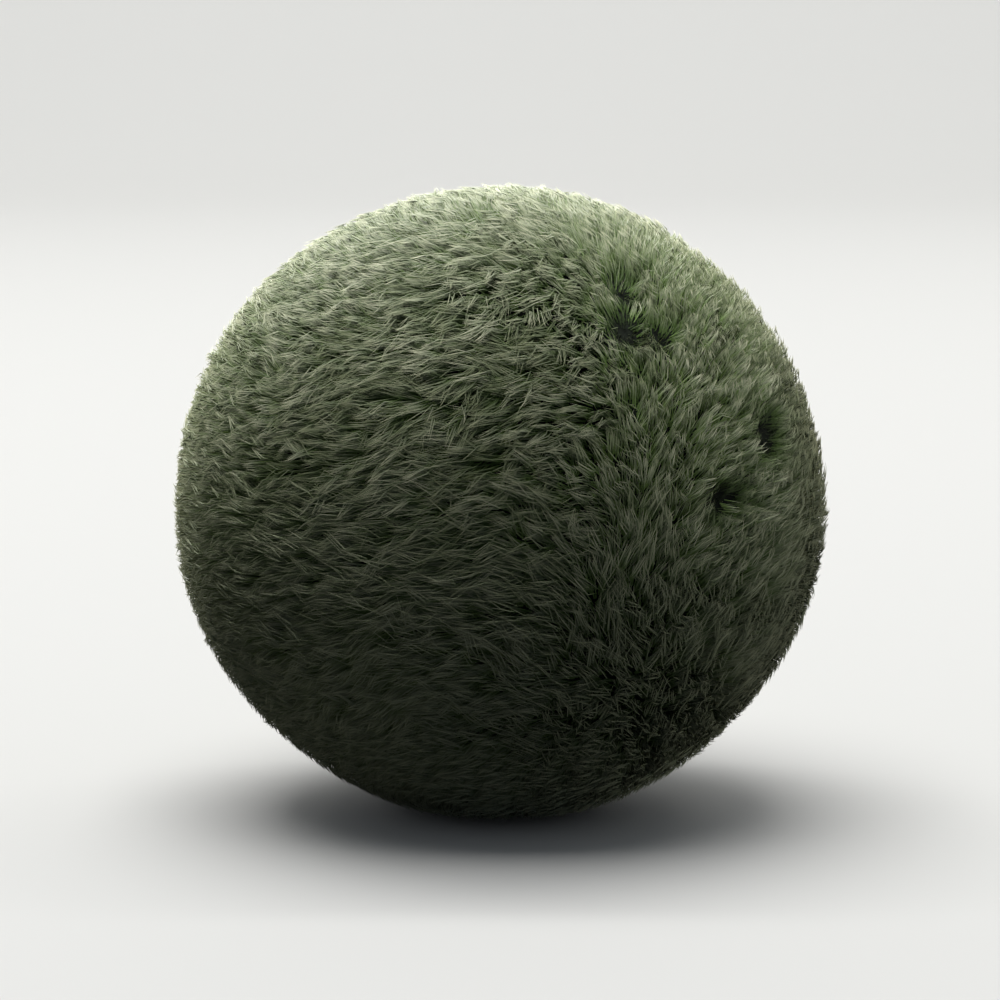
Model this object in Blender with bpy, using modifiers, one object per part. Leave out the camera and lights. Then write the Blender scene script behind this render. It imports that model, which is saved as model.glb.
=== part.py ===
"""Artificial marimo moss ball: a plush cover around a hollow geodesic lattice core.

Units are metres and +Z is up. The origin is the middle of the resting spot, on the
surface that the ball stands on. The front of the ball faces -Y.
"""

from math import asin, cos, pi, radians, sin

import bmesh
import bpy
from mathutils import Vector, noise

# Ball
BALL_RADIUS = 0.0253         # before the lumps of the pile, which leave it 50 mm wide
BALL_HALF_HEIGHT = 0.0245    # the soft ball sits a little squat
FOOT_RADIUS = 0.0070         # pile pressed flat where the ball rests

# Lattice core
CORE_RADIUS = 0.0223         # outside of the ribs
RIB_WIDTH = 0.0012
RIB_DEPTH = 0.0024
RIB_CUTS = 1                 # extra corners along a rib, which let it follow the sphere

# Cover
GAP = 0.0003                 # between the core and the inside of the cover
MOUTH_RADIUS = 0.0014        # gathered opening in the middle of the underside
LIP_RADIUS = 0.0008          # roll of the cover's edge into the mouth
COVER_STEPS = 64             # facets around the ball
OUTSIDE_STEPS = 30           # facets from the top to the foot
INSIDE_STEPS = 15
LIP_STEPS = 3

# Lumps of the combed pile
SWELL_DEPTH = 0.00045        # broad hollows
SWELL_SIZE = 0.0110
LUMP_DEPTH = 0.00035         # locks of pile that lie together
LUMP_SIZE = 0.0050
FOOT_BLEND = 0.0060          # height over which the lumps fade out towards the foot

# Places where the pile parts: degrees round from the front towards +X, degrees up,
# depth and reach
PARTINGS = {
    "shoulder whorl": (30.0, 43.0, 0.00070, 0.0024),
    "side tuck": (59.0, 18.0, 0.00050, 0.0017),
}

MERGE_DISTANCE = 0.00001
SMOOTH_ANGLE = radians(40.0)

FOOT_ANGLE = pi - asin(FOOT_RADIUS / BALL_RADIUS)
CENTRE_HEIGHT = -BALL_HALF_HEIGHT * cos(FOOT_ANGLE)
CENTRE = Vector((0.0, 0.0, CENTRE_HEIGHT))
CAVITY_RADIUS = CORE_RADIUS + GAP


def clear_scene():
    for item in list(bpy.data.objects):
        bpy.data.objects.remove(item, do_unlink=True)


def make_collection(name):
    collection = bpy.data.collections.new(name)
    bpy.context.scene.collection.children.link(collection)
    return collection


def make_material(name, colour, roughness, metallic=0.0):
    material = bpy.data.materials.new(name)
    material.use_nodes = True
    shader = material.node_tree.nodes["Principled BSDF"]
    shader.inputs["Base Color"].default_value = (*colour, 1.0)
    shader.inputs["Roughness"].default_value = roughness
    shader.inputs["Metallic"].default_value = metallic
    return material


def direction(azimuth, elevation):
    """Unit vector towards a place on the ball, in degrees round from -Y and up."""
    across = cos(radians(elevation))
    return Vector((
        across * sin(radians(azimuth)),
        -across * cos(radians(azimuth)),
        sin(radians(elevation)),
    ))


def outside_profile():
    """Outside of the cover, from the top down to the rim of the foot."""
    angles = [FOOT_ANGLE * step / OUTSIDE_STEPS for step in range(OUTSIDE_STEPS + 1)]
    return [
        (BALL_RADIUS * sin(angle), CENTRE_HEIGHT + BALL_HALF_HEIGHT * cos(angle))
        for angle in angles
    ]


def lip_profile():
    """Rounded edge from the flat foot up into the mouth."""
    angles = [0.5 * pi * step / LIP_STEPS for step in range(LIP_STEPS + 1)]
    return [
        (
            MOUTH_RADIUS + LIP_RADIUS * (1.0 - sin(angle)),
            LIP_RADIUS * (1.0 - cos(angle)),
        )
        for angle in angles
    ]


def inside_profile():
    """Spherical inside of the cover, from the mouth back up to the top."""
    mouth_angle = pi - asin(MOUTH_RADIUS / CAVITY_RADIUS)
    angles = [mouth_angle * (1.0 - step / INSIDE_STEPS) for step in range(INSIDE_STEPS + 1)]
    return [
        (CAVITY_RADIUS * sin(angle), CENTRE_HEIGHT + CAVITY_RADIUS * cos(angle))
        for angle in angles
    ]


def add_profile(name, points):
    """Object with one chain of edges in the XZ plane."""
    mesh = bpy.data.meshes.new(name)
    vertices = [(distance, 0.0, height) for distance, height in points]
    edges = [(index, index + 1) for index in range(len(points) - 1)]
    mesh.from_pydata(vertices, edges, [])
    profile = bpy.data.objects.new(name, mesh)
    bpy.context.scene.collection.objects.link(profile)
    return profile


def turned_mesh(name, points, steps):
    """Closed mesh of a profile turned once around Z."""
    profile = add_profile(name + "_profile", points)
    screw = profile.modifiers.new("turn", "SCREW")
    screw.steps = steps
    screw.render_steps = steps
    screw.use_merge_vertices = True
    screw.merge_threshold = MERGE_DISTANCE
    depsgraph = bpy.context.evaluated_depsgraph_get()
    mesh = bpy.data.meshes.new_from_object(profile.evaluated_get(depsgraph))
    mesh.name = name
    bpy.data.objects.remove(profile, do_unlink=True)
    return mesh


def fade(value):
    """Smooth step from 0 to 1."""
    value = min(max(value, 0.0), 1.0)
    return value * value * (3.0 - 2.0 * value)


def pile_hollow(point):
    """How far the surface lies inside the plain form of the ball at a point."""
    outward = (point - CENTRE).normalized()
    swell = 0.5 + 0.5 * noise.noise(point / SWELL_SIZE)
    lump = 0.5 + 0.5 * noise.noise(point / LUMP_SIZE + Vector((7.0, 3.0, 5.0)))
    depth = SWELL_DEPTH * swell + LUMP_DEPTH * lump
    for azimuth, elevation, parting_depth, reach in PARTINGS.values():
        distance = BALL_RADIUS * outward.angle(direction(azimuth, elevation))
        depth += parting_depth * 2.0 ** (-((distance / reach) ** 2))
    return depth * fade(point.z / FOOT_BLEND)


def press_pile(mesh):
    """Move the outside of the cover in by the lumps of its pile."""
    middle = 0.5 * (BALL_HALF_HEIGHT + CAVITY_RADIUS)
    for vertex in mesh.vertices:
        if vertex.co.z > LIP_RADIUS and (vertex.co - CENTRE).length > middle:
            outward = (vertex.co - CENTRE).normalized()
            vertex.co -= outward * pile_hollow(vertex.co)


def shade_smooth(mesh):
    mesh.shade_smooth()
    mesh.set_sharp_from_angle(angle=SMOOTH_ANGLE)


def make_cover(collection):
    """Plush cover: one hollow piece, open only at the gathered mouth underneath."""
    points = outside_profile() + lip_profile() + inside_profile()[1:]
    mesh = turned_mesh("moss_cover", points, COVER_STEPS)
    press_pile(mesh)
    shade_smooth(mesh)
    mesh.materials.append(make_material("moss_plush", (0.047, 0.060, 0.033), 0.95))
    cover = bpy.data.objects.new("moss_cover", mesh)
    collection.objects.link(cover)
    return cover


def lattice_faces():
    """Ribs of the lattice as one open layer on the core's outer sphere."""
    mesh = bmesh.new()
    bmesh.ops.create_icosphere(mesh, subdivisions=2, radius=CORE_RADIUS)
    windows = list(mesh.faces)
    bmesh.ops.inset_individual(
        mesh, faces=windows, thickness=0.5 * RIB_WIDTH, use_even_offset=True
    )
    bmesh.ops.delete(mesh, geom=windows, context="FACES")
    along_ribs = [edge for edge in mesh.edges if edge.calc_length() > 3.0 * RIB_WIDTH]
    bmesh.ops.subdivide_edges(mesh, edges=along_ribs, cuts=RIB_CUTS, use_grid_fill=True)
    for vertex in mesh.verts:
        vertex.co = vertex.co.normalized() * CORE_RADIUS
    return mesh


def make_core(collection):
    """Moulded lattice core: a geodesic sphere of ribs with triangular windows."""
    ribs = lattice_faces()
    mesh = bpy.data.meshes.new("lattice_core")
    ribs.to_mesh(mesh)
    ribs.free()
    mesh.materials.append(make_material("core_plastic", (0.060, 0.060, 0.062), 0.55))
    core = bpy.data.objects.new("lattice_core", mesh)
    core.location = CENTRE
    depth = core.modifiers.new("rib depth", "SOLIDIFY")
    depth.thickness = RIB_DEPTH
    depth.offset = -1.0
    collection.objects.link(core)
    return core


def main():
    clear_scene()
    collection = make_collection("marimo_moss_ball")
    make_cover(collection)
    make_core(collection)


main()
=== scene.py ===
"""Looks of the artificial marimo moss ball: knitted backing, combed pile, lattice core and stage.

Units are metres and +Z is up. The side that the photograph shows faces -Y.
"""

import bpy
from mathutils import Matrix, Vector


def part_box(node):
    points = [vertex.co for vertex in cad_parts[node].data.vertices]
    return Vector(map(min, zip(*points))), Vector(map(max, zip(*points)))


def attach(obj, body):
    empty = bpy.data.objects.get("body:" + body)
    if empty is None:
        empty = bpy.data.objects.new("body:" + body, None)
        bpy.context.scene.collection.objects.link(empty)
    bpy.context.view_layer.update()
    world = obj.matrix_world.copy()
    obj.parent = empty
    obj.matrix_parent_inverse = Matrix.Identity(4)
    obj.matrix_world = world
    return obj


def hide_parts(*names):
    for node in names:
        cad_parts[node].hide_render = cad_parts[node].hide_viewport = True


bl_info = {
    "name": "Marimo Moss Ball",
    "version": (1, 0, 0),
    "blender": (4, 5, 0),
    "location": "3D View > Sidebar > Moss Ball",
    "description": "Makes the plush pile, backing and core of an artificial moss ball",
    "category": "Add Mesh",
}

from math import cos, pi, radians, sin

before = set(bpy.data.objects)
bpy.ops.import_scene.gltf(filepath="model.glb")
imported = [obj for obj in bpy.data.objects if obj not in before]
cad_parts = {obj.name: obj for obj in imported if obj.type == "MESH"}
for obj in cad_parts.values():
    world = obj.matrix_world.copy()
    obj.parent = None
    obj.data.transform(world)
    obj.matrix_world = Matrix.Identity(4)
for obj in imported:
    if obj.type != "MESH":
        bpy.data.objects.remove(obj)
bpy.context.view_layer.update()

import bmesh
import bpy
import numpy as np
from bpy.props import FloatProperty, IntProperty, PointerProperty, StringProperty
from bpy.types import Operator, Panel, PropertyGroup
from mathutils import Vector
from mathutils.bvhtree import BVHTree

# Sizes read from the frame
COVER_LOW, COVER_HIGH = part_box("moss_cover")
CORE_LOW, CORE_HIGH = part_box("lattice_core")
CENTRE = 0.5 * (CORE_LOW + CORE_HIGH)
BALL_RADIUS = 0.5 * (COVER_HIGH.x - COVER_LOW.x)
CORE_RADIUS = 0.5 * (CORE_HIGH.x - CORE_LOW.x)
SQUAT = (COVER_HIGH.z - CENTRE.z) / BALL_RADIUS

# Camera
CAMERA_ELEVATION = 7.5       # above the ball's middle, in degrees
LENS = 135.0                 # in millimetres
BALL_SHARE = 0.66            # part of the picture's width that the ball takes

# Strokes of the comb as seen by the camera: across and up in parts of the ball's radius,
# heading of the fibres' tips in degrees from straight right towards up, and how far they are
# laid over: at 0 they would stand up
STROKES = (
    (-0.92, 0.36, 158.0, 0.7),
    (-0.95, 0.05, 170.0, 0.7),
    (-0.75, 0.15, 178.0, 0.9),
    (-0.90, -0.17, 178.0, 0.8),
    (-0.77, -0.46, 165.0, 1.1),
    (-0.62, -0.66, 165.0, 1.2),
    (-0.66, 0.70, 180.0, 1.0),
    (-0.72, 0.50, 188.0, 1.0),
    (-0.48, 0.62, 190.0, 1.0),
    (-0.45, 0.86, 192.0, 1.0),
    (-0.28, 0.76, 194.0, 1.2),
    (-0.14, 0.87, 185.0, 1.2),
    (-0.02, 0.97, 160.0, 1.2),
    (0.00, 0.70, 205.0, 1.4),
    (0.15, 0.86, 170.0, 1.2),
    (0.15, 0.56, 215.0, 1.5),
    (0.34, 0.88, 140.0, 1.2),
    (0.33, 0.66, 145.0, 1.0),
    (0.45, 0.80, 118.0, 0.5),
    (0.60, 0.74, 112.0, 0.4),
    (0.62, 0.58, 115.0, 0.4),
    (0.78, 0.58, 122.0, 0.4),
    (0.88, 0.45, 118.0, 0.4),
    (0.75, 0.40, 106.0, 0.5),
    (0.52, 0.36, 105.0, 0.6),
    (-0.14, 0.50, 218.0, 1.5),
    (0.00, 0.31, 220.0, 1.5),
    (-0.40, 0.40, 205.0, 1.4),
    (-0.41, 0.20, 196.0, 1.4),
    (-0.20, 0.12, 202.0, 1.6),
    (0.12, 0.14, 208.0, 1.6),
    (0.27, 0.14, 170.0, 1.4),
    (0.22, 0.38, 215.0, 1.5),
    (0.40, 0.36, 140.0, 1.2),
    (0.40, 0.06, 118.0, 1.1),
    (0.48, 0.12, 80.0, 0.7),
    (0.60, 0.13, 68.0, 0.7),
    (0.70, 0.28, 78.0, 0.7),
    (0.76, 0.02, 64.0, 0.7),
    (0.93, -0.05, 92.0, 0.7),
    (-0.45, -0.07, 183.0, 1.4),
    (-0.20, -0.20, 190.0, 1.6),
    (0.05, -0.20, 172.0, 1.6),
    (0.25, -0.20, 140.0, 1.5),
    (0.42, -0.16, 104.0, 1.3),
    (0.60, -0.17, 60.0, 1.1),
    (0.81, -0.17, 70.0, 1.1),
    (-0.41, -0.56, 184.0, 1.4),
    (-0.12, -0.46, 172.0, 1.5),
    (0.12, -0.50, 150.0, 1.5),
    (0.34, -0.50, 118.0, 1.5),
    (0.55, -0.42, 84.0, 1.4),
    (0.69, -0.56, 60.0, 1.2),
    (-0.41, -0.75, 182.0, 1.2),
    (-0.10, -0.78, 174.0, 1.2),
    (0.18, -0.80, 162.0, 1.2),
    (0.40, -0.78, 140.0, 1.2),
    (0.60, -0.72, 112.0, 1.2),
)
STROKE_REACH = 0.17          # in parts of the ball's radius, as are the reaches below

# Sweep of the pile all round the ball, which shows beyond the strokes
SWEEP_SHARE = 0.04           # weight of the sweep beside a stroke's
SWEEP_LEAST = 0.3            # a sweep shorter than this isn't drawn out to full length
SWEEP_RISE = 2.0             # how far the sweep turns to the crown above and away below
CROWN = (0.15, 0.45, 0.88)   # way from the ball's middle to the whorl of the sweep

# Holes where the pile stands apart, as seen by the camera: across, up, heading of their
# length, half their length, half their width and strength
TUCKS = (
    (0.38, 0.54, 80.0, 0.068, 0.052, 1.0),
    (0.37, 0.67, 92.0, 0.080, 0.030, 0.9),
    (0.49, 0.52, 70.0, 0.045, 0.030, 0.8),
    (0.82, 0.22, 75.0, 0.110, 0.052, 1.0),
    (0.67, 0.01, 45.0, 0.090, 0.042, 0.9),
    (0.64, 0.82, 100.0, 0.060, 0.030, 0.7),
)
TUCK_MARGIN = 0.04           # how far round a tuck the pile leans away from it
TUCK_LEAN = 0.9              # how fully it does
TUCK_THINNING = 0.8          # share of the fibres that a tuck is without
TUCK_DEPTH = 0.85            # how far down a tuck presses the fibres, and how far painted shade darkens them
LOCKS_ACROSS = 0.12          # share of the locks that lie across the tucks
WOBBLES = ((0.016, 55.0), (0.008, 130.0))  # size and frequency of the tucks' ragged edges

# Places where the pile lies in disorder, as for the tucks
RUFFLES = (
    (0.10, 0.52, 0.0, 0.20, 0.20, 0.3),
    (0.42, 0.38, 0.0, 0.22, 0.20, 0.5),
    (0.08, -0.02, 0.0, 0.18, 0.18, 0.5),
    (0.62, 0.62, 0.0, 0.25, 0.25, 0.7),
    (0.72, 0.14, 0.0, 0.25, 0.25, 0.6),
)

# Bottom of the ball, where the pile leans off the mouth
BOTTOM = np.array((0.0, 0.0, -1.0))
BOTTOM_REACH = 0.25

# Pieces that each layer of the pile is split into, and the seeds of their chance numbers
PILE_PARTS = 2
UNDER_PARTS = 3
PILE_SEED = 7
UNDER_SEED = 11

# Turns of a fibre's heading, in parts of the stray angle
LOCK_TURN = 1.0
TUFT_TURN = 0.9
FIBRE_TURN = 0.15
WAVE_TURN = 0.6
RUFFLED_TURN = 0.9           # how much more the fibres turn where the pile is in disorder

# Lowest and highest share of the pile's depth, a fibre's length and its bow
LOCK_HEIGHTS = (0.0, 0.24)
TUFT_HEIGHTS = (0.62, 0.80)
LOCK_LENGTHS = (0.75, 1.10)
FIBRE_LENGTHS = (0.85, 1.10)
LOCK_BOWS = (-1.0, 1.0)
FIBRE_BOWS = (-0.4, 0.4)

# Even pile of the lower half
MOST_EVEN = 0.8
EVEN_RANK = 0.75             # rank that its locks and tufts come near to, from 0 to 1
EVEN_LOOSENING = 0.7         # how much less its locks are drawn together

# Weights in a fibre's tone, which runs from 0 dark to 1 light
LOCK_TONE = 0.50
TUFT_TONE = 0.25
PATCH_TONE = 0.15
FIBRE_TONE = 0.10
DARKEST_TONE = 0.28

# Path and taper of a fibre
TRAVEL_POWER = 1.45          # how late a fibre bends over along the nap
RISE_POWER = 2.6             # how early it rises to its height
TIP_TAPER = 0.30             # what the tip loses on each side, in parts of the fibre's width

# Pile pressed flat on the floor: the dark fibres lie lowest
BED = (-0.0003, 0.0004)
BED_SOFTNESS = 0.0003

# Knitted backing, and its pleats round the mouth
BACKING_RINGS = 60
PLEATS = 16
BACKING_STEPS = 10 * PLEATS
PLEAT_DEPTH = 0.0003
PLEAT_REACH = radians(26.0)  # from the bottom of the ball


def linear(hex_colour):
    """Turn an sRGB hex colour into a linear one with alpha."""
    parts = [int(hex_colour[place:place + 2], 16) / 255.0 for place in (1, 3, 5)]
    return tuple(
        part / 12.92 if part <= 0.04045 else ((part + 0.055) / 1.055) ** 2.4 for part in parts
    ) + (1.0,)


def add_node(tree, kind, inputs=None, output=0, **settings):
    """Add a node with its settings, fill or link its inputs, and return one of its outputs."""
    node = tree.nodes.new(kind)
    for name, value in settings.items():
        setattr(node, name, value)
    for key, value in (inputs or {}).items():
        if isinstance(value, bpy.types.NodeSocket):
            tree.links.new(value, node.inputs[key])
        else:
            node.inputs[key].default_value = value
    return node.outputs[output] if node.outputs else None


class MossBallSizes(PropertyGroup):
    backing_gap: FloatProperty(
        name="Backing gap", description="Clear space between the core and the backing",
        default=0.0003, unit="LENGTH",
    )
    backing_thickness: FloatProperty(
        name="Backing thickness", description="Thickness of the knitted backing",
        default=0.0005, unit="LENGTH",
    )
    mouth_radius: FloatProperty(
        name="Mouth radius", description="Radius of the gathered mouth underneath",
        default=0.0014, unit="LENGTH",
    )
    fibre_count: IntProperty(
        name="Fibres", description="Number of long, bent fibres",
        default=39000, min=1,
    )
    fibre_length: FloatProperty(
        name="Fibre length", description="Length of a long fibre along the ball",
        default=0.0018, unit="LENGTH",
    )
    fibre_width: FloatProperty(
        name="Fibre width", description="Thickness of a long fibre",
        default=0.00011, unit="LENGTH",
    )
    under_count: IntProperty(
        name="Short fibres", description="Number of short fibres below the tips",
        default=147000, min=1,
    )
    under_length: FloatProperty(
        name="Short fibre length", description="Length of a short fibre along the ball",
        default=0.0017, unit="LENGTH",
    )
    under_width: FloatProperty(
        name="Short fibre width", description="Thickness of a short fibre at its root",
        default=0.00013, unit="LENGTH",
    )
    under_rise: FloatProperty(
        name="Short fibre height", description="Height of the short fibres beside the long ones",
        default=0.93, min=0.0, max=1.0, subtype="FACTOR",
    )
    lock_size: FloatProperty(
        name="Lock size", description="Width of the locks that the fibres gather into",
        default=0.00085, unit="LENGTH",
    )
    tuft_size: FloatProperty(
        name="Tuft size", description="Width of the tufts that the locks lie together in",
        default=0.0017, unit="LENGTH",
    )
    lock_pull: FloatProperty(
        name="Lock pull", description="How far the tips of a lock are drawn together",
        default=0.85, min=0.0, max=1.0, subtype="FACTOR",
    )
    under_pull: FloatProperty(
        name="Short fibre pull", description="How far the short fibres of a lock are drawn together",
        default=0.35, min=0.0, max=1.0, subtype="FACTOR",
    )
    stray: FloatProperty(
        name="Stray", description="Angle by which locks leave the nap",
        default=radians(30.0), subtype="ANGLE",
    )
    softness: FloatProperty(
        name="Softness", description="How far the fibres are shaded as one soft surface",
        default=0.35, min=0.0, max=2.0, subtype="FACTOR",
    )
    curl: FloatProperty(
        name="Curl", description="How far a lock bows to the side",
        default=0.00035, unit="LENGTH",
    )


class MossBallColours(PropertyGroup):
    root: StringProperty(
        name="Root", description="Colour deep in the pile", default="#2f3b1d",
    )
    middle: StringProperty(
        name="Middle", description="Colour half way along the fibres", default="#434639",
    )
    tip: StringProperty(
        name="Tip", description="Colour of the tips", default="#676656",
    )
    # The backing's colour is darkened further, as painted shade at the bottom of the tucks
    backing: StringProperty(
        name="Backing", description="Colour of the knitted backing", default="#060805",
    )
    core: StringProperty(
        name="Core", description="Colour of the moulded core", default="#3b3b3d",
    )
    floor: StringProperty(
        name="Floor", description="Colour of the floor", default="#d9d8d4",
    )


def finish_piece(piece):
    """Ride a piece of the cover on the body, and hide the cover's solid."""
    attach(piece, "root")
    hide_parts("moss_cover")


def backing_radius(sizes):
    return CORE_RADIUS + sizes.backing_gap + sizes.backing_thickness


def picture_axes():
    """Directions to the right, up and towards the eye in the photograph's view."""
    tilt = radians(CAMERA_ELEVATION)
    right = np.array((1.0, 0.0, 0.0))
    up = np.array((0.0, sin(tilt), cos(tilt)))
    eye = np.array((0.0, -cos(tilt), sin(tilt)))
    return right, up, eye


def picture_way(across, up_part):
    """Unit vector from the middle of the ball to a place that the camera sees."""
    right, up, eye = picture_axes()
    depth = max(1.0 - across ** 2 - up_part ** 2, 0.01) ** 0.5
    way = across * right + up_part * up + depth * eye
    return way / np.linalg.norm(way)


def stroke_vector(way, heading):
    """Tangent of the ball at way that runs along heading in the photograph."""
    right, up, eye = picture_axes()
    drawn = cos(radians(heading)) * right + sin(radians(heading)) * up
    tangent = drawn - eye * (drawn @ way) / (eye @ way)
    return tangent / np.linalg.norm(tangent)


def leaning_away(nap, ways, middle, reach, strength):
    """Nap that leans away from a place where it is close to it."""
    apart = ways - middle
    distance = np.linalg.norm(apart, axis=1)
    weight = strength * np.exp(-((distance / reach) ** 4))[:, None]
    return (1.0 - weight) * nap + weight * apart / (distance + 0.02)[:, None]


def combed_nap(ways):
    """Way that the pile leans at each place on the ball, shorter where it stands up.

    Each stroke counts near its place, and a weak sweep round the ball counts everywhere.
    """
    crown = np.array(CROWN)
    to_crown = crown - ways * (ways @ crown)[:, None]
    sweep = np.cross(ways, crown) + SWEEP_RISE * ways[:, 2:] * to_crown
    sweep /= np.maximum(np.linalg.norm(sweep, axis=1), SWEEP_LEAST)[:, None]
    nap = SWEEP_SHARE * sweep
    share = np.full(len(ways), SWEEP_SHARE)
    for across, up_part, heading, flatness in STROKES:
        way = picture_way(across, up_part)
        distance = np.linalg.norm(ways - way, axis=1)
        weight = np.exp(-((distance / STROKE_REACH) ** 2))
        nap += flatness * weight[:, None] * stroke_vector(way, heading)
        share += weight
    nap /= share[:, None]
    for across, up_part, _, _, half_width, strength in TUCKS:
        middle = picture_way(across, up_part)
        nap = leaning_away(nap, ways, middle, half_width + TUCK_MARGIN, TUCK_LEAN * strength)
    nap = leaning_away(nap, ways, BOTTOM, BOTTOM_REACH, 1.0)
    return nap - ways * np.sum(ways * nap, axis=1)[:, None]


def spots(ways, places):
    """Strength of a list of long or round places all over the ball, from 0 to 1."""
    amount = np.zeros(len(ways))
    for across, up_part, heading, half_length, half_width, strength in places:
        middle = picture_way(across, up_part)
        along = stroke_vector(middle, heading)
        apart = ways - middle
        distance = ((apart @ along) / half_length) ** 2
        distance += ((apart @ np.cross(middle, along)) / half_width) ** 2
        distance += ((apart @ middle) / half_width) ** 2
        amount = np.maximum(amount, strength * np.exp(-distance ** 2))
    return amount


def ragged(ways):
    """Places moved a little to and fro, which gives the tucks ragged edges."""
    (coarse, slow), (fine, fast) = WOBBLES
    moved = ways + coarse * np.sin(slow * ways[:, (1, 2, 0)])
    return moved + fine * np.sin(fast * ways[:, (2, 0, 1)])


def evenness(ways):
    """How evenly the pile lies at each place: most on the lower half, from 0 to 1."""
    return MOST_EVEN * np.clip(0.5 - 1.2 * ways[:, 2], 0.0, 1.0)


def cover_reach(ways):
    """Distance from the ball's middle to the outside of its cover, before it sits squat."""
    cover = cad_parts["moss_cover"].data
    skin = BVHTree.FromPolygons(
        [vertex.co for vertex in cover.vertices], [face.vertices for face in cover.polygons]
    )
    reach = np.empty(len(ways))
    for index, (x, y, z) in enumerate(ways):
        way = Vector((x, y, z * SQUAT))
        place = skin.ray_cast(CENTRE + 2.0 * BALL_RADIUS * way, -way)[0]
        apart = place - CENTRE
        reach[index] = Vector((apart.x, apart.y, apart.z / SQUAT)).length
    return reach


def make_guide(mouth):
    """Unit sphere that carries the nap and the growth of the pile: none in the mouth."""
    mesh = bpy.data.meshes.new("pile_guide")
    sphere = bmesh.new()
    bmesh.ops.create_icosphere(sphere, subdivisions=6, radius=1.0)
    sphere.to_mesh(mesh)
    sphere.free()
    ways = np.empty(len(mesh.vertices) * 3)
    mesh.vertices.foreach_get("co", ways)
    ways = ways.reshape(-1, 3)
    tucked = spots(ragged(ways), TUCKS)
    outside_mouth = np.linalg.norm(ways - BOTTOM, axis=1) > mouth
    nap = mesh.attributes.new("nap", "FLOAT_VECTOR", "POINT")
    nap.data.foreach_set("vector", combed_nap(ways).ravel())
    for name, values in (
        ("tucked", tucked),
        ("ruffled", spots(ways, RUFFLES)),
        ("evened", evenness(ways)),
        ("reach", cover_reach(ways)),
        ("growth", outside_mouth * (1.0 - TUCK_THINNING * tucked)),
    ):
        mesh.attributes.new(name, "FLOAT", "POINT").data.foreach_set("value", values)
    guide = bpy.data.objects.new("pile_guide", mesh)
    bpy.context.scene.collection.objects.link(guide)
    return guide


def new_tree(name, inputs, output, output_kind):
    """Node group with one output, and inputs whose names are listed by kind."""
    tree = bpy.data.node_groups.new(name, "GeometryNodeTree")
    for kind, labels in inputs.items():
        for label in labels:
            tree.interface.new_socket(label, in_out="INPUT", socket_type=kind)
    tree.interface.new_socket(output, in_out="OUTPUT", socket_type=output_kind)
    return tree


def path_tree():
    """Middle line of a fibre: it rises from the backing and bends over along the nap."""
    tree = new_tree(
        "fibre path",
        {
            "NodeSocketVector": ("Way", "Nap"),
            "NodeSocketFloat": ("Along", "Length", "Height", "Curl", "Backing Radius"),
        },
        "Position", "NodeSocketVector",
    )
    given = add_node(tree, "NodeGroupInput").node.outputs
    run = add_node(tree, "ShaderNodeMath", {0: given["Along"], 1: TRAVEL_POWER}, operation="POWER")
    travel = add_node(tree, "ShaderNodeMath", {0: run, 1: given["Length"]}, operation="MULTIPLY")
    left = add_node(tree, "ShaderNodeMath", {0: 1.0, 1: given["Along"]}, operation="SUBTRACT")
    bent = add_node(tree, "ShaderNodeMath", {0: left, 1: RISE_POWER}, operation="POWER")
    risen = add_node(tree, "ShaderNodeMath", {0: 1.0, 1: bent}, operation="SUBTRACT")
    radius = add_node(
        tree, "ShaderNodeMath", {0: risen, 1: given["Height"], 2: given["Backing Radius"]},
        operation="MULTIPLY_ADD",
    )
    foot = add_node(
        tree, "ShaderNodeVectorMath", {0: given["Way"], 3: given["Backing Radius"]},
        operation="SCALE",
    )
    step = add_node(tree, "ShaderNodeVectorMath", {0: given["Nap"], 3: travel}, operation="SCALE")
    moved = add_node(tree, "ShaderNodeVectorMath", {0: foot, 1: step}, operation="ADD")
    side = add_node(
        tree, "ShaderNodeVectorMath", {0: given["Way"], 1: given["Nap"]},
        operation="CROSS_PRODUCT",
    )

    # The bow is nothing at both ends and full half way
    bow = left
    for factor in (given["Along"], 4.0, given["Curl"]):
        bow = add_node(tree, "ShaderNodeMath", {0: bow, 1: factor}, operation="MULTIPLY")
    sway = add_node(tree, "ShaderNodeVectorMath", {0: side, 3: bow}, operation="SCALE")
    moved = add_node(tree, "ShaderNodeVectorMath", {0: moved, 1: sway}, operation="ADD")
    way = add_node(tree, "ShaderNodeVectorMath", {0: moved}, operation="NORMALIZE")
    place = add_node(tree, "ShaderNodeVectorMath", {0: way, 3: radius}, operation="SCALE")
    add_node(tree, "NodeGroupOutput", {"Position": place})
    return tree


def sliver(tree, joints):
    """One straight fibre of unit length: a closed three-sided cone."""
    cone = add_node(
        tree, "GeometryNodeMeshCone",
        {
            "Vertices": 3, "Side Segments": joints, "Radius Top": 0.0, "Radius Bottom": 1.0,
            "Depth": 1.0,
        },
        output="Mesh", fill_type="NGON",
    )
    place = add_node(tree, "GeometryNodeInputPosition")
    along = add_node(tree, "ShaderNodeSeparateXYZ", {0: place}, output="Z")
    flat = add_node(tree, "ShaderNodeVectorMath", {0: place, 1: (1.0, 1.0, 0.0)}, operation="MULTIPLY")
    around = add_node(tree, "ShaderNodeVectorMath", {0: flat}, operation="NORMALIZE")
    for name, kind, value in (("along", "FLOAT", along), ("around", "FLOAT_VECTOR", around)):
        cone = add_node(
            tree, "GeometryNodeStoreNamedAttribute",
            {"Geometry": cone, "Name": name, "Value": value}, data_type=kind, domain="POINT",
        )
    return cone


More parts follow.
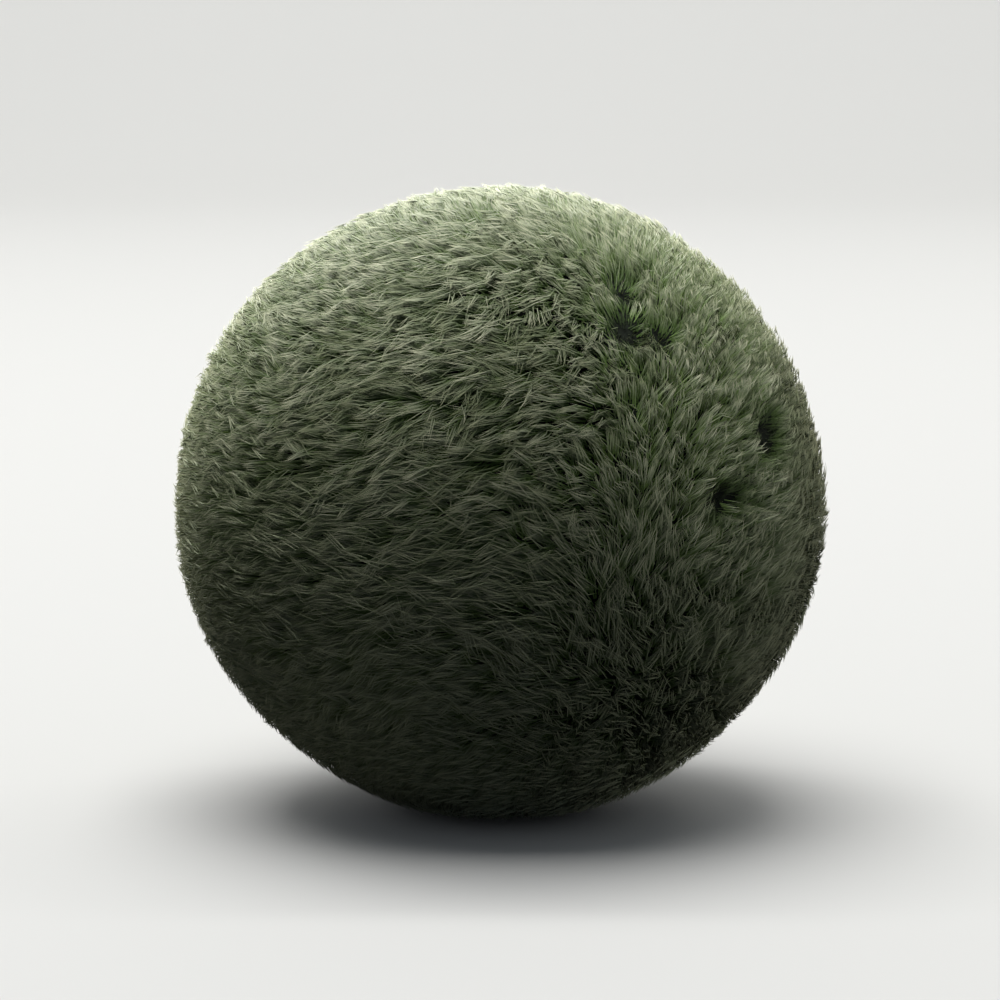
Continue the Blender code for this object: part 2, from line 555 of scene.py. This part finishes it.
def fibre_roots(tree, given, growth):
    """Roots of the fibres, and of them only those that this piece holds."""
    density = add_node(tree, "ShaderNodeMath", {0: given["Fibres"], 1: 4.0 * pi}, operation="DIVIDE")
    density = add_node(tree, "ShaderNodeMath", {0: density, 1: growth}, operation="MULTIPLY")
    roots = add_node(
        tree, "GeometryNodeDistributePointsOnFaces",
        {"Mesh": given["Guide"], "Density": density, "Seed": given["Seed"]}, output="Points",
    )
    index = add_node(tree, "GeometryNodeInputIndex")
    turn = add_node(tree, "ShaderNodeMath", {0: index, 1: given["Parts"]}, operation="FLOORED_MODULO")
    other = add_node(
        tree, "FunctionNodeCompare", {"A": turn, "B": given["Part"], "Epsilon": 0.5},
        data_type="FLOAT", operation="NOT_EQUAL",
    )
    return add_node(
        tree, "GeometryNodeDeleteGeometry", {"Geometry": roots, "Selection": other},
        domain="POINT",
    )


def chance_numbers(tree, given, way):
    """Way to each lock's middle, and chance numbers of each lock, tuft and fibre.

    Locks and tufts are cells of Voronoi patterns.
    """
    cells = []
    for size in ("Lock Size", "Tuft Size"):
        scale = add_node(
            tree, "ShaderNodeMath", {0: given["Backing Radius"], 1: given[size]},
            operation="DIVIDE",
        )
        cells.append(
            add_node(tree, "ShaderNodeTexVoronoi", {"Vector": way, "Scale": scale}, output="Color")
        )
    own = add_node(
        tree, "FunctionNodeRandomValue",
        {0: (0.0, 0.0, 0.0), 1: (1.0, 1.0, 1.0), 8: given["Seed"]}, data_type="FLOAT_VECTOR",
    )
    lock_place = cells[0].node.outputs["Position"]
    lock_way = add_node(tree, "ShaderNodeVectorMath", {0: lock_place}, operation="NORMALIZE")
    lock, tuft, fibre = [
        add_node(tree, "ShaderNodeSeparateXYZ", {0: numbers}).node.outputs
        for numbers in (*cells, own)
    ]
    return lock_way, lock, tuft, fibre


def fibre_heading(tree, given, way, ruffled, lock, tuft, fibre):
    """Heading of each fibre: the nap, turned a little by lock, tuft, fibre and broad wave."""
    nap = add_node(tree, "GeometryNodeInputNamedAttribute", {"Name": "nap"}, data_type="FLOAT_VECTOR")
    wave = add_node(
        tree, "ShaderNodeTexNoise", {"Vector": way, "Scale": 5.0, "Detail": 2.0}, output="Fac"
    )
    wave_turn = add_node(
        tree, "ShaderNodeMapRange",
        {
            "Value": wave, "From Min": 0.3, "From Max": 0.7,
            "To Min": -WAVE_TURN, "To Max": WAVE_TURN,
        },
    )
    lock_turn, tuft_turn, fibre_turn = [
        add_node(tree, "ShaderNodeMapRange", {"Value": numbers["Z"], "To Min": -turn, "To Max": turn})
        for numbers, turn in ((lock, LOCK_TURN), (tuft, TUFT_TURN), (fibre, FIBRE_TURN))
    ]
    looser = add_node(
        tree, "ShaderNodeMath", {0: ruffled, 1: RUFFLED_TURN, 2: 1.0}, operation="MULTIPLY_ADD"
    )
    angle = lock_turn
    for operation, value in (
        ("ADD", fibre_turn), ("ADD", tuft_turn), ("MULTIPLY", looser), ("ADD", wave_turn),
        ("MULTIPLY", given["Stray"]),
    ):
        angle = add_node(tree, "ShaderNodeMath", {0: angle, 1: value}, operation=operation)
    return add_node(
        tree, "ShaderNodeVectorRotate", {"Vector": nap, "Axis": way, "Angle": angle},
        rotation_type="AXIS_ANGLE",
    )


def fibre_sizes(tree, given, reach, lock_rank, tuft_rank, lock, fibre):
    """Height, length, bow and rise of each fibre: the highest tips reach the cover's outside."""
    lock_height, tuft_height, lock_length, own_length, lock_bow, own_bow = [
        add_node(tree, "ShaderNodeMapRange", {"Value": value, "To Min": low, "To Max": high})
        for value, (low, high) in (
            (lock_rank, LOCK_HEIGHTS), (tuft_rank, TUFT_HEIGHTS),
            (lock["Y"], LOCK_LENGTHS), (fibre["Y"], FIBRE_LENGTHS),
            (lock["Y"], LOCK_BOWS), (fibre["Y"], FIBRE_BOWS),
        )
    ]
    uneven = add_node(tree, "ShaderNodeMath", {0: fibre["Z"], 1: given["Uneven"]}, operation="MULTIPLY")
    rise = add_node(tree, "ShaderNodeMath", {0: given["Rise"], 1: uneven}, operation="SUBTRACT")
    depth = add_node(tree, "ShaderNodeMath", {0: reach, 1: given["Backing Radius"]}, operation="SUBTRACT")
    height = add_node(tree, "ShaderNodeMath", {0: lock_height, 1: tuft_height}, operation="ADD")
    for factor in (rise, depth):
        height = add_node(tree, "ShaderNodeMath", {0: height, 1: factor}, operation="MULTIPLY")
    length = add_node(tree, "ShaderNodeMath", {0: lock_length, 1: own_length}, operation="MULTIPLY")
    length = add_node(tree, "ShaderNodeMath", {0: length, 1: given["Fibre Length"]}, operation="MULTIPLY")
    curl = add_node(tree, "ShaderNodeMath", {0: lock_bow, 1: own_bow}, operation="ADD")
    curl = add_node(tree, "ShaderNodeMath", {0: curl, 1: given["Curl"]}, operation="MULTIPLY")
    return height, length, curl, rise


def fibre_tone(tree, way, lock_rank, tuft_rank, fibre):
    """Tone of each fibre, at random by lock, tuft, fibre and patch: a few locks are much lighter.
    As the rank also makes them higher, the lighter locks are the higher ones: a painted highlight.
    """
    patch = add_node(
        tree, "ShaderNodeTexNoise", {"Vector": way, "Scale": 9.0, "Detail": 3.0}, output="Fac"
    )
    lock_tone_and_highlight = add_node(tree, "ShaderNodeMath", {0: lock_rank, 1: 2.0}, operation="POWER")
    tone = add_node(tree, "ShaderNodeMath", {0: fibre["X"], 1: FIBRE_TONE}, operation="MULTIPLY")
    for light, weight in ((lock_tone_and_highlight, LOCK_TONE), (tuft_rank, TUFT_TONE), (patch, PATCH_TONE)):
        tone = add_node(tree, "ShaderNodeMath", {0: light, 1: weight, 2: tone}, operation="MULTIPLY_ADD")
    return add_node(
        tree, "ShaderNodeMath", {0: tone, 1: 1.0 - DARKEST_TONE, 2: DARKEST_TONE},
        operation="MULTIPLY_ADD",
    )


def fibre_middle(tree, given, read, tucked):
    """Middle line of each fibre, and how far it stands clear of the tucks, from 0 to 1.

    A fibre has its own path, drawn towards the path of its lock and pressed down in a tuck.
    """
    path = path_tree()
    own, shared = [
        add_node(
            tree, "GeometryNodeGroup",
            {
                "Way": read[start], "Nap": read["heading"], "Along": read["along"],
                "Length": read["length"], "Height": read["height"], "Curl": read["curl"],
                "Backing Radius": given["Backing Radius"],
            },
            node_tree=path,
        )
        for start in ("way", "lock_way")
    ]
    pull = add_node(tree, "ShaderNodeMath", {0: read["along"], 1: read["gather"]}, operation="MULTIPLY")
    middle = add_node(tree, "ShaderNodeMix", {0: pull, 4: own, 5: shared}, output=1, data_type="VECTOR")
    past = add_node(tree, "ShaderNodeVectorMath", {0: middle}, operation="NORMALIZE")
    hole = add_node(
        tree, "GeometryNodeSampleNearestSurface",
        {"Mesh": given["Guide"], "Value": tucked, "Sample Position": past}, data_type="FLOAT",
    )
    sunk = add_node(tree, "ShaderNodeMath", {0: hole, 1: read["sinks"]}, operation="MULTIPLY")
    clear = add_node(tree, "ShaderNodeMath", {0: sunk, 1: -TUCK_DEPTH, 2: 1.0}, operation="MULTIPLY_ADD")
    radius = add_node(tree, "ShaderNodeVectorMath", {0: middle}, output="Value", operation="LENGTH")
    radius = add_node(
        tree, "ShaderNodeMath", {0: radius, 1: given["Backing Radius"]}, operation="SUBTRACT"
    )
    radius = add_node(
        tree, "ShaderNodeMath", {0: radius, 1: clear, 2: given["Backing Radius"]},
        operation="MULTIPLY_ADD",
    )
    middle = add_node(tree, "ShaderNodeVectorMath", {0: past, 3: radius}, operation="SCALE")
    return middle, clear


def fibre_normal(tree, read, corner):
    """Way from a fibre's middle line to each of its three corners."""
    side = add_node(
        tree, "ShaderNodeVectorMath", {0: read["way"], 1: read["heading"]},
        operation="CROSS_PRODUCT",
    )
    side = add_node(tree, "ShaderNodeVectorMath", {0: side}, operation="NORMALIZE")
    sideways = add_node(tree, "ShaderNodeVectorMath", {0: side, 3: corner["X"]}, operation="SCALE")
    outward = add_node(tree, "ShaderNodeVectorMath", {0: read["way"], 3: corner["Y"]}, operation="SCALE")
    return add_node(tree, "ShaderNodeVectorMath", {0: sideways, 1: outward}, operation="ADD")


def fibre_place(tree, given, read, middle, normal):
    """Place of each corner of a fibre that tapers to its tip, on a ball that sits squat.

    The pile is pressed flat on the floor, where the dark fibres lie lowest.
    """
    thinner = add_node(tree, "ShaderNodeMath", {0: read["along"], 1: 2.0}, operation="POWER")
    taper = add_node(
        tree, "ShaderNodeMath", {0: thinner, 1: -TIP_TAPER, 2: 0.5}, operation="MULTIPLY_ADD"
    )
    half_width = add_node(
        tree, "ShaderNodeMath", {0: taper, 1: given["Fibre Width"]}, operation="MULTIPLY"
    )
    offset = add_node(tree, "ShaderNodeVectorMath", {0: normal, 3: half_width}, operation="SCALE")
    squat = add_node(tree, "ShaderNodeCombineXYZ", {"X": 1.0, "Y": 1.0, "Z": given["Squat"]})
    placed = add_node(
        tree, "ShaderNodeVectorMath", {0: middle, 1: squat, 2: given["Centre"]},
        operation="MULTIPLY_ADD",
    )
    split = add_node(tree, "ShaderNodeSeparateXYZ", {0: placed}).node.outputs
    bed = add_node(
        tree, "ShaderNodeMapRange",
        {
            "Value": read["tone"], "From Min": 0.45, "From Max": 0.65,
            "To Min": BED[0], "To Max": BED[1],
        },
    )
    raised = add_node(
        tree, "ShaderNodeMath", {0: split["Z"], 1: bed, 2: BED_SOFTNESS}, operation="SMOOTH_MAX"
    )
    pressed = add_node(tree, "ShaderNodeCombineXYZ", {"X": split["X"], "Y": split["Y"], "Z": raised})
    return add_node(tree, "ShaderNodeVectorMath", {0: pressed, 1: offset}, operation="ADD")


def map_place(tree, read, corner, clear):
    """Place in the map: a fibre's tone across, and up how far each point stands in the pile. Fibres
    pressed into the tucks get a darker tone and stop lower on the ramp: painted shade.
    """
    tone = add_node(
        tree, "ShaderNodeMath", {0: corner["X"], 1: 0.012, 2: read["tone"]},
        operation="MULTIPLY_ADD",
    )
    # Painted shade: a fibre pressed into a tuck gets a darker tone
    painted_tuck_shade = add_node(tree, "ShaderNodeMath", {0: clear, 1: 2.0}, operation="POWER")
    tone = add_node(tree, "ShaderNodeMath", {0: tone, 1: painted_tuck_shade}, operation="MULTIPLY")
    # Painted shade: fibres that rise less stop lower on the root-to-tip ramp, so the short fibres are
    # darker
    level = add_node(tree, "ShaderNodeMath", {0: read["along"], 1: read["rise"]}, operation="MULTIPLY")
    level = add_node(tree, "ShaderNodeMath", {0: level, 1: clear}, operation="MULTIPLY")
    return add_node(tree, "ShaderNodeCombineXYZ", {"X": tone, "Y": level, "Z": 0.0})


def pile_tree():
    """Fibres of the pile, grown from a unit sphere that carries the nap."""
    tree = new_tree(
        "combed pile",
        {
            "NodeSocketGeometry": ("Guide",),
            "NodeSocketInt": ("Fibres", "Parts", "Part", "Seed", "Joints"),
            "NodeSocketFloat": (
                "Rise", "Uneven", "Backing Radius", "Fibre Length", "Fibre Width", "Lock Size",
                "Tuft Size", "Lock Pull", "Stray", "Softness", "Curl", "Squat",
            ),
            "NodeSocketVector": ("Centre",),
            "NodeSocketMaterial": ("Material",),
        },
        "Pile", "NodeSocketGeometry",
    )
    given = add_node(tree, "NodeGroupInput").node.outputs
    tucked, ruffled, evened, reach, growth = [
        add_node(tree, "GeometryNodeInputNamedAttribute", {"Name": name}, data_type="FLOAT")
        for name in ("tucked", "ruffled", "evened", "reach", "growth")
    ]
    place = add_node(tree, "GeometryNodeInputPosition")
    way = add_node(tree, "ShaderNodeVectorMath", {0: place}, operation="NORMALIZE")
    lock_way, lock, tuft, fibre = chance_numbers(tree, given, way)

    # The rank of a lock or tuft, from 0 to 1, makes it both higher and lighter: random tone, and a
    # painted highlight on the higher locks and tufts
    lock_rank, tuft_rank = [
        add_node(tree, "ShaderNodeMix", {0: evened, 2: numbers["X"], 3: EVEN_RANK})
        for numbers in (lock, tuft)
    ]
    height, length, curl, rise = fibre_sizes(tree, given, reach, lock_rank, tuft_rank, lock, fibre)
    sinks = add_node(tree, "ShaderNodeMath", {0: lock["Y"], 1: LOCKS_ACROSS}, operation="GREATER_THAN")
    gather = add_node(
        tree, "ShaderNodeMath", {0: evened, 1: -EVEN_LOOSENING, 2: 1.0},
        operation="MULTIPLY_ADD",
    )
    gather = add_node(tree, "ShaderNodeMath", {0: gather, 1: given["Lock Pull"]}, operation="MULTIPLY")
    heading = fibre_heading(tree, given, way, ruffled, lock, tuft, fibre)
    tone = fibre_tone(tree, way, lock_rank, tuft_rank, fibre)
    roots = fibre_roots(tree, given, growth)
    vectors = {"way": way, "lock_way": lock_way, "heading": heading}
    numbers = {
        "height": height, "length": length, "curl": curl, "tone": tone, "rise": rise,
        "sinks": sinks, "gather": gather,
    }
    kinds = dict.fromkeys(vectors, "FLOAT_VECTOR") | dict.fromkeys(numbers, "FLOAT")
    for name, value in {**vectors, **numbers}.items():
        roots = add_node(
            tree, "GeometryNodeStoreNamedAttribute",
            {"Geometry": roots, "Name": name, "Value": value}, data_type=kinds[name],
            domain="POINT",
        )
    fibres = add_node(
        tree, "GeometryNodeInstanceOnPoints",
        {"Points": roots, "Instance": sliver(tree, given["Joints"])},
    )
    fibres = add_node(tree, "GeometryNodeRealizeInstances", {"Geometry": fibres})

    # From here on every corner of a fibre reads what its root and its sliver hold
    kinds |= {"along": "FLOAT", "around": "FLOAT_VECTOR"}
    read = {
        name: add_node(tree, "GeometryNodeInputNamedAttribute", {"Name": name}, data_type=kind)
        for name, kind in kinds.items()
    }
    corner = add_node(tree, "ShaderNodeSeparateXYZ", {0: read["around"]}).node.outputs
    middle, clear = fibre_middle(tree, given, read, tucked)
    normal = fibre_normal(tree, read, corner)
    fibres = add_node(
        tree, "GeometryNodeSetPosition",
        {"Geometry": fibres, "Position": fibre_place(tree, given, read, middle, normal)},
    )
    fibres = add_node(
        tree, "GeometryNodeStoreNamedAttribute",
        {"Geometry": fibres, "Name": "OFBake", "Value": map_place(tree, read, corner, clear)},
        data_type="FLOAT2", domain="CORNER",
    )
    fibres = add_node(tree, "GeometryNodeSetShadeSmooth", {"Geometry": fibres, "Shade Smooth": True})

    # Light scatters between fibres, so their shading leans to that of the whole ball
    soft = add_node(
        tree, "ShaderNodeVectorMath", {0: read["way"], 1: given["Softness"], 2: normal},
        operation="MULTIPLY_ADD",
    )
    soft = add_node(tree, "ShaderNodeVectorMath", {0: soft}, operation="NORMALIZE")
    fibres = add_node(
        tree, "GeometryNodeSetMeshNormal", {"Mesh": fibres, "Custom Normal": soft},
        mode="FREE", domain="POINT",
    )
    fibres = add_node(
        tree, "GeometryNodeSetMaterial", {"Geometry": fibres, "Material": given["Material"]}
    )
    add_node(tree, "NodeGroupOutput", {"Pile": fibres})
    return tree


def new_material(name):
    """Empty material with a Principled shader, and its tree."""
    material = bpy.data.materials.new(name)
    material.use_nodes = True
    return material, material.node_tree, material.node_tree.nodes["Principled BSDF"]


def plush_material(colours):
    """Polyester plush pile, spun-dyed and combed.

    The fibres are dark at the root and khaki at the tip, and their fuzz catches light at a
    glance, which greys the top of the ball. The short fibres, which rise less, and the fibres in
    the tucks stop lower on the ramp and are darker: painted shade.
    """
    material, tree, shader = new_material("plush_pile")
    place = add_node(tree, "ShaderNodeUVMap", uv_map="OFBake")
    split = add_node(tree, "ShaderNodeSeparateXYZ", {0: place}).node.outputs
    ramps = []
    # The darkest stop across the map, at 0, is reached only by fibres in the tucks: painted shade
    for value, stops in (
        (split["Y"], ((0.20, colours.root), (0.55, colours.middle), (1.0, colours.tip))),
        (split["X"], ((0.0, "#0c120a"), (0.35, "#8c9a7b"), (1.0, "#ffffff"))),
    ):
        ramp = add_node(tree, "ShaderNodeValToRGB", {0: value})
        elements = ramp.node.color_ramp.elements
        elements.new(0.5)
        for element, (position, tint) in zip(elements, stops):
            element.position, element.color = position, linear(tint)
        ramps.append(ramp)
    colour = add_node(
        tree, "ShaderNodeMix", {0: 1.0, 6: ramps[0], 7: ramps[1]}, output=2,
        data_type="RGBA", blend_type="MULTIPLY",
    )
    tree.links.new(colour, shader.inputs["Base Color"])
    shader.inputs["Roughness"].default_value = 0.65
    shader.inputs["Specular IOR Level"].default_value = 0.025
    shader.inputs["Sheen Weight"].default_value = 0.04
    shader.inputs["Sheen Roughness"].default_value = 0.3
    shader.inputs["Sheen Tint"].default_value = linear("#c4c294")
    return material


def knit_material(colours):
    """Polyester jersey, warp-knitted: fine dark loops that hold the pile.
    Its colour is darkened further, as painted shade where the knit shows in the tucks.
    """
    material, tree, shader = new_material("knitted_backing")
    place = add_node(tree, "ShaderNodeTexCoord", output="Object")
    loops = add_node(tree, "ShaderNodeTexVoronoi", {"Vector": place, "Scale": 1800.0}, output="Distance")
    shade = add_node(tree, "ShaderNodeMapRange", {"Value": loops, "To Min": 1.2, "To Max": 0.6})
    colour = add_node(
        tree, "ShaderNodeMix", {0: 1.0, 6: linear(colours.backing), 7: shade}, output=2,
        data_type="RGBA", blend_type="MULTIPLY",
    )
    bump = add_node(tree, "ShaderNodeBump", {"Strength": 0.6, "Distance": 0.0002, "Height": shade})
    tree.links.new(colour, shader.inputs["Base Color"])
    tree.links.new(bump, shader.inputs["Normal"])
    shader.inputs["Roughness"].default_value = 0.9
    shader.inputs["Specular IOR Level"].default_value = 0.02
    return material


def core_material(colours):
    """Injection-moulded polypropylene, dark grey, with the fine grain of a spark-eroded mould."""
    material, tree, shader = new_material("moulded_core")
    place = add_node(tree, "ShaderNodeTexCoord", output="Object")
    grain = add_node(
        tree, "ShaderNodeTexNoise", {"Vector": place, "Scale": 6000.0, "Detail": 2.0},
        output="Fac",
    )
    tint, rough = [
        add_node(tree, "ShaderNodeMapRange", {"Value": grain, "To Min": low, "To Max": high})
        for low, high in ((0.85, 1.15), (0.45, 0.62))
    ]
    colour = add_node(
        tree, "ShaderNodeMix", {0: 1.0, 6: linear(colours.core), 7: tint}, output=2,
        data_type="RGBA", blend_type="MULTIPLY",
    )
    bump = add_node(tree, "ShaderNodeBump", {"Strength": 0.3, "Distance": 0.00005, "Height": grain})
    tree.links.new(colour, shader.inputs["Base Color"])
    tree.links.new(rough, shader.inputs["Roughness"])
    tree.links.new(bump, shader.inputs["Normal"])
    return material


def ball_place(way, radius):
    """Place at a distance from the middle of the squat ball."""
    return Vector((way.x * radius, way.y * radius, way.z * radius * SQUAT)) + CENTRE


def pleat(angle, turn):
    """Height of the backing's pleats at an angle from the top and a turn round the ball."""
    gathered = max(0.0, 1.0 - (pi - angle) / PLEAT_REACH)
    return PLEAT_DEPTH * gathered * (0.5 + 0.5 * cos(PLEATS * turn))


def backing_mesh(sizes):
    """Outside of the knit, from the top down to the pleats at the mouth."""
    radius = backing_radius(sizes)
    last = pi - sizes.mouth_radius / radius
    knit = bmesh.new()
    rows = []
    for ring in range(1, BACKING_RINGS + 1):
        angle = last * ring / BACKING_RINGS
        row = []
        for step in range(BACKING_STEPS):
            turn = 2.0 * pi * step / BACKING_STEPS
            way = Vector((sin(angle) * cos(turn), sin(angle) * sin(turn), cos(angle)))
            row.append(knit.verts.new(ball_place(way, radius + pleat(angle, turn))))
        rows.append(row)
    top = knit.verts.new(ball_place(Vector((0.0, 0.0, 1.0)), radius))
    for step in range(BACKING_STEPS):
        after = (step + 1) % BACKING_STEPS
        knit.faces.new((top, rows[0][step], rows[0][after]))
        for upper, lower in zip(rows, rows[1:]):
            knit.faces.new((upper[step], lower[step], lower[after], upper[after]))
    mesh = bpy.data.meshes.new("knit_backing")
    knit.to_mesh(mesh)
    knit.free()
    mesh.shade_smooth()
    return mesh


class MOSSBALL_OT_backing(Operator):
    """Stretch the backing over the core: a round cut of knit, gathered in pleats at the mouth"""
    bl_idname = "mossball.backing"
    bl_label = "Knitted backing"

    def execute(self, context):
        sizes = context.scene.moss_ball_sizes
        mesh = backing_mesh(sizes)
        mesh.materials.append(knit_material(context.scene.moss_ball_colours))
        backing = bpy.data.objects.new("knit_backing", mesh)
        context.scene.collection.objects.link(backing)
        wall = backing.modifiers.new("wall", "SOLIDIFY")
        wall.thickness = sizes.backing_thickness
        wall.offset = -1.0
        finish_piece(backing)
        return {"FINISHED"}


class MOSSBALL_OT_pile(Operator):
    """Grow the pile: fibres that lie along the combed nap and gather into locks"""
    bl_idname = "mossball.pile"
    bl_label = "Combed pile"

    def execute(self, context):
        sizes = context.scene.moss_ball_sizes
        guide = make_guide(sizes.mouth_radius / backing_radius(sizes))
        tree = pile_tree()
        shared = {
            "Backing Radius": backing_radius(sizes),
            "Lock Size": sizes.lock_size,
            "Tuft Size": sizes.tuft_size,
            "Stray": sizes.stray,
            "Softness": sizes.softness,
            "Squat": SQUAT,
            "Centre": CENTRE,
            "Material": plush_material(context.scene.moss_ball_colours),
        }
        layers = {
            "pile": {
                "Fibres": sizes.fibre_count,
                "Parts": PILE_PARTS,
                "Seed": PILE_SEED,
                "Joints": 2,
                "Rise": 1.0,
                "Uneven": 0.10,
                "Fibre Length": sizes.fibre_length,
                "Fibre Width": sizes.fibre_width,
                "Lock Pull": sizes.lock_pull,
                "Curl": sizes.curl,
            },
            "under_pile": {
                "Fibres": sizes.under_count,
                "Parts": UNDER_PARTS,
                "Seed": UNDER_SEED,
                "Joints": 1,
                "Rise": sizes.under_rise,
                "Uneven": 0.20,
                "Fibre Length": sizes.under_length,
                "Fibre Width": sizes.under_width,
                "Lock Pull": sizes.under_pull,
                "Curl": 0.0,
            },
        }
        for name, layer in layers.items():
            for part in range(layer["Parts"]):
                mesh = self.grow(context, guide, tree, {**shared, **layer, "Part": part})
                mesh.name = f"{name}_{part + 1}"
                piece = bpy.data.objects.new(mesh.name, mesh)
                context.scene.collection.objects.link(piece)
                finish_piece(piece)
        bpy.data.objects.remove(guide, do_unlink=True)
        return {"FINISHED"}

    def grow(self, context, guide, tree, values):
        """Plain mesh of one piece of the pile, with no attribute left but its map and normals."""
        grow = guide.modifiers.new("grow", "NODES")
        grow.node_group = tree
        names = {item.name: item.identifier for item in tree.interface.items_tree}
        for name, value in values.items():
            grow[names[name]] = value
        depsgraph = context.evaluated_depsgraph_get()
        mesh = bpy.data.meshes.new_from_object(guide.evaluated_get(depsgraph))
        guide.modifiers.remove(grow)
        spare = [
            item.name for item in mesh.attributes
            if not item.is_required and not item.is_internal
            and item.name not in ("OFBake", "material_index", "custom_normal")
        ]
        for name in spare:
            mesh.attributes.remove(mesh.attributes[name])
        return mesh


class MOSSBALL_OT_core(Operator):
    """Finish the lattice core as moulded plastic"""
    bl_idname = "mossball.core"
    bl_label = "Lattice core"

    def execute(self, context):
        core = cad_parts["lattice_core"]
        material = core_material(context.scene.moss_ball_colours)
        for slot in core.material_slots:
            slot.material = material
        return {"FINISHED"}


def aim(item, target):
    """Turn a light or camera towards a place."""
    way = Vector(target) - item.location
    item.rotation_euler = way.to_track_quat("-Z", "Y").to_euler()


def add_softbox(name, place, size, power, target):
    """Rectangular soft light that faces a place."""
    light = bpy.data.lights.new(name, "AREA")
    light.shape = "RECTANGLE"
    light.size, light.size_y = size
    light.energy = power
    softbox = bpy.data.objects.new(name, light)
    softbox.location = place
    aim(softbox, target)
    bpy.context.scene.collection.objects.link(softbox)
    return softbox


class MOSSBALL_OT_stage(Operator):
    """Set up the pale floor, the soft lights and the camera"""
    bl_idname = "mossball.stage"
    bl_label = "Stage"

    def execute(self, context):
        self.make_floor(context)
        self.make_lights(context)
        self.make_camera(context)
        return {"FINISHED"}

    def make_floor(self, context):
        """Floor that curves up into a backdrop behind the ball."""
        half_width, front, back, bend, top, steps = 2.5, -2.0, 0.9, 0.5, 1.6, 12
        profile = [(front, 0.0), (back, 0.0)]
        for step in range(1, steps + 1):
            angle = 0.5 * pi * step / steps
            profile.append((back + bend * sin(angle), bend * (1.0 - cos(angle))))
        profile.append((back + bend, top))
        surface = bmesh.new()
        left, right = [
            [surface.verts.new((x, y, z)) for y, z in profile] for x in (-half_width, half_width)
        ]
        for index in range(len(profile) - 1):
            surface.faces.new((left[index], right[index], right[index + 1], left[index + 1]))
        mesh = bpy.data.meshes.new("floor")
        surface.to_mesh(mesh)
        surface.free()
        mesh.shade_smooth()
        material, _, shader = new_material("studio_floor")
        shader.inputs["Base Color"].default_value = linear(context.scene.moss_ball_colours.floor)
        shader.inputs["Roughness"].default_value = 0.8
        mesh.materials.append(material)
        floor = bpy.data.objects.new("floor", mesh)
        context.scene.collection.objects.link(floor)

    def make_lights(self, context):
        """Soft lights for the ball and the backdrop, and lights that leave the floor out."""
        add_softbox("top_softbox", (-0.1, 0.0, 0.9), (0.9, 0.7), 8.0, CENTRE)
        add_softbox("backdrop_light", (0.0, 0.5, 1.3), (2.0, 0.3), 14.0, (0.0, 1.4, 0.3))
        left_out = bpy.data.collections.new("floor_left_out")
        left_out.objects.link(bpy.data.objects["floor"])
        left_out.collection_objects[0].light_linking.link_state = "EXCLUDE"
        for name, place, size, power, tint in (
            ("hair_light", (-0.06, -0.04, 0.45), (0.46, 0.30), 17.0, "#ffffff"),
            ("rim_light", (-0.12, 0.34, 0.38), (0.60, 0.30), 30.0, "#ffffff"),
            ("side_light", (0.45, 0.00, 0.20), (0.20, 0.30), 3.2, "#ffffff"),
            ("fill_light", (0.08, -0.50, 0.05), (0.50, 0.08), 0.55, "#c8dcff"),
        ):
            light = add_softbox(name, place, size, power, CENTRE)
            light.data.color = linear(tint)[:3]
            light.light_linking.receiver_collection = left_out
        world = bpy.data.worlds.new("studio")
        world.use_nodes = True
        sky = world.node_tree.nodes["Background"]
        sky.inputs["Color"].default_value = linear("#dde6f2")
        sky.inputs["Strength"].default_value = 0.24
        context.scene.world = world
        context.scene.view_settings.view_transform = "Standard"

    def make_camera(self, context):
        """Long lens, a little above the ball, straight on."""
        camera = bpy.data.objects.new("camera", bpy.data.cameras.new("camera"))
        camera.data.lens = LENS
        camera.data.clip_start = 0.01
        tilt = radians(CAMERA_ELEVATION)
        half_view = 0.5 * camera.data.sensor_width / LENS
        distance = BALL_RADIUS / (half_view * BALL_SHARE)
        camera.location = CENTRE + distance * Vector((0.0, -cos(tilt), sin(tilt)))
        aim(camera, CENTRE)
        context.scene.collection.objects.link(camera)
        context.scene.camera = camera


class MOSSBALL_PT_panel(Panel):
    bl_label = "Moss Ball"
    bl_space_type = "VIEW_3D"
    bl_region_type = "UI"
    bl_category = "Moss Ball"

    def draw(self, context):
        for maker in OPERATORS:
            self.layout.operator(maker.bl_idname)
        for group in (context.scene.moss_ball_sizes, context.scene.moss_ball_colours):
            for name in group.__annotations__:
                self.layout.prop(group, name)


OPERATORS = (MOSSBALL_OT_backing, MOSSBALL_OT_pile, MOSSBALL_OT_core, MOSSBALL_OT_stage)
CLASSES = (MossBallSizes, MossBallColours, *OPERATORS, MOSSBALL_PT_panel)


def register():
    for item in CLASSES:
        bpy.utils.register_class(item)
    bpy.types.Scene.moss_ball_sizes = PointerProperty(type=MossBallSizes)
    bpy.types.Scene.moss_ball_colours = PointerProperty(type=MossBallColours)


def unregister():
    del bpy.types.Scene.moss_ball_colours
    del bpy.types.Scene.moss_ball_sizes
    for item in reversed(CLASSES):
        bpy.utils.unregister_class(item)


def main():
    register()
    bpy.ops.mossball.backing()
    bpy.ops.mossball.pile()
    bpy.ops.mossball.core()
    bpy.ops.mossball.stage()


if __name__ == "__main__":
    main()
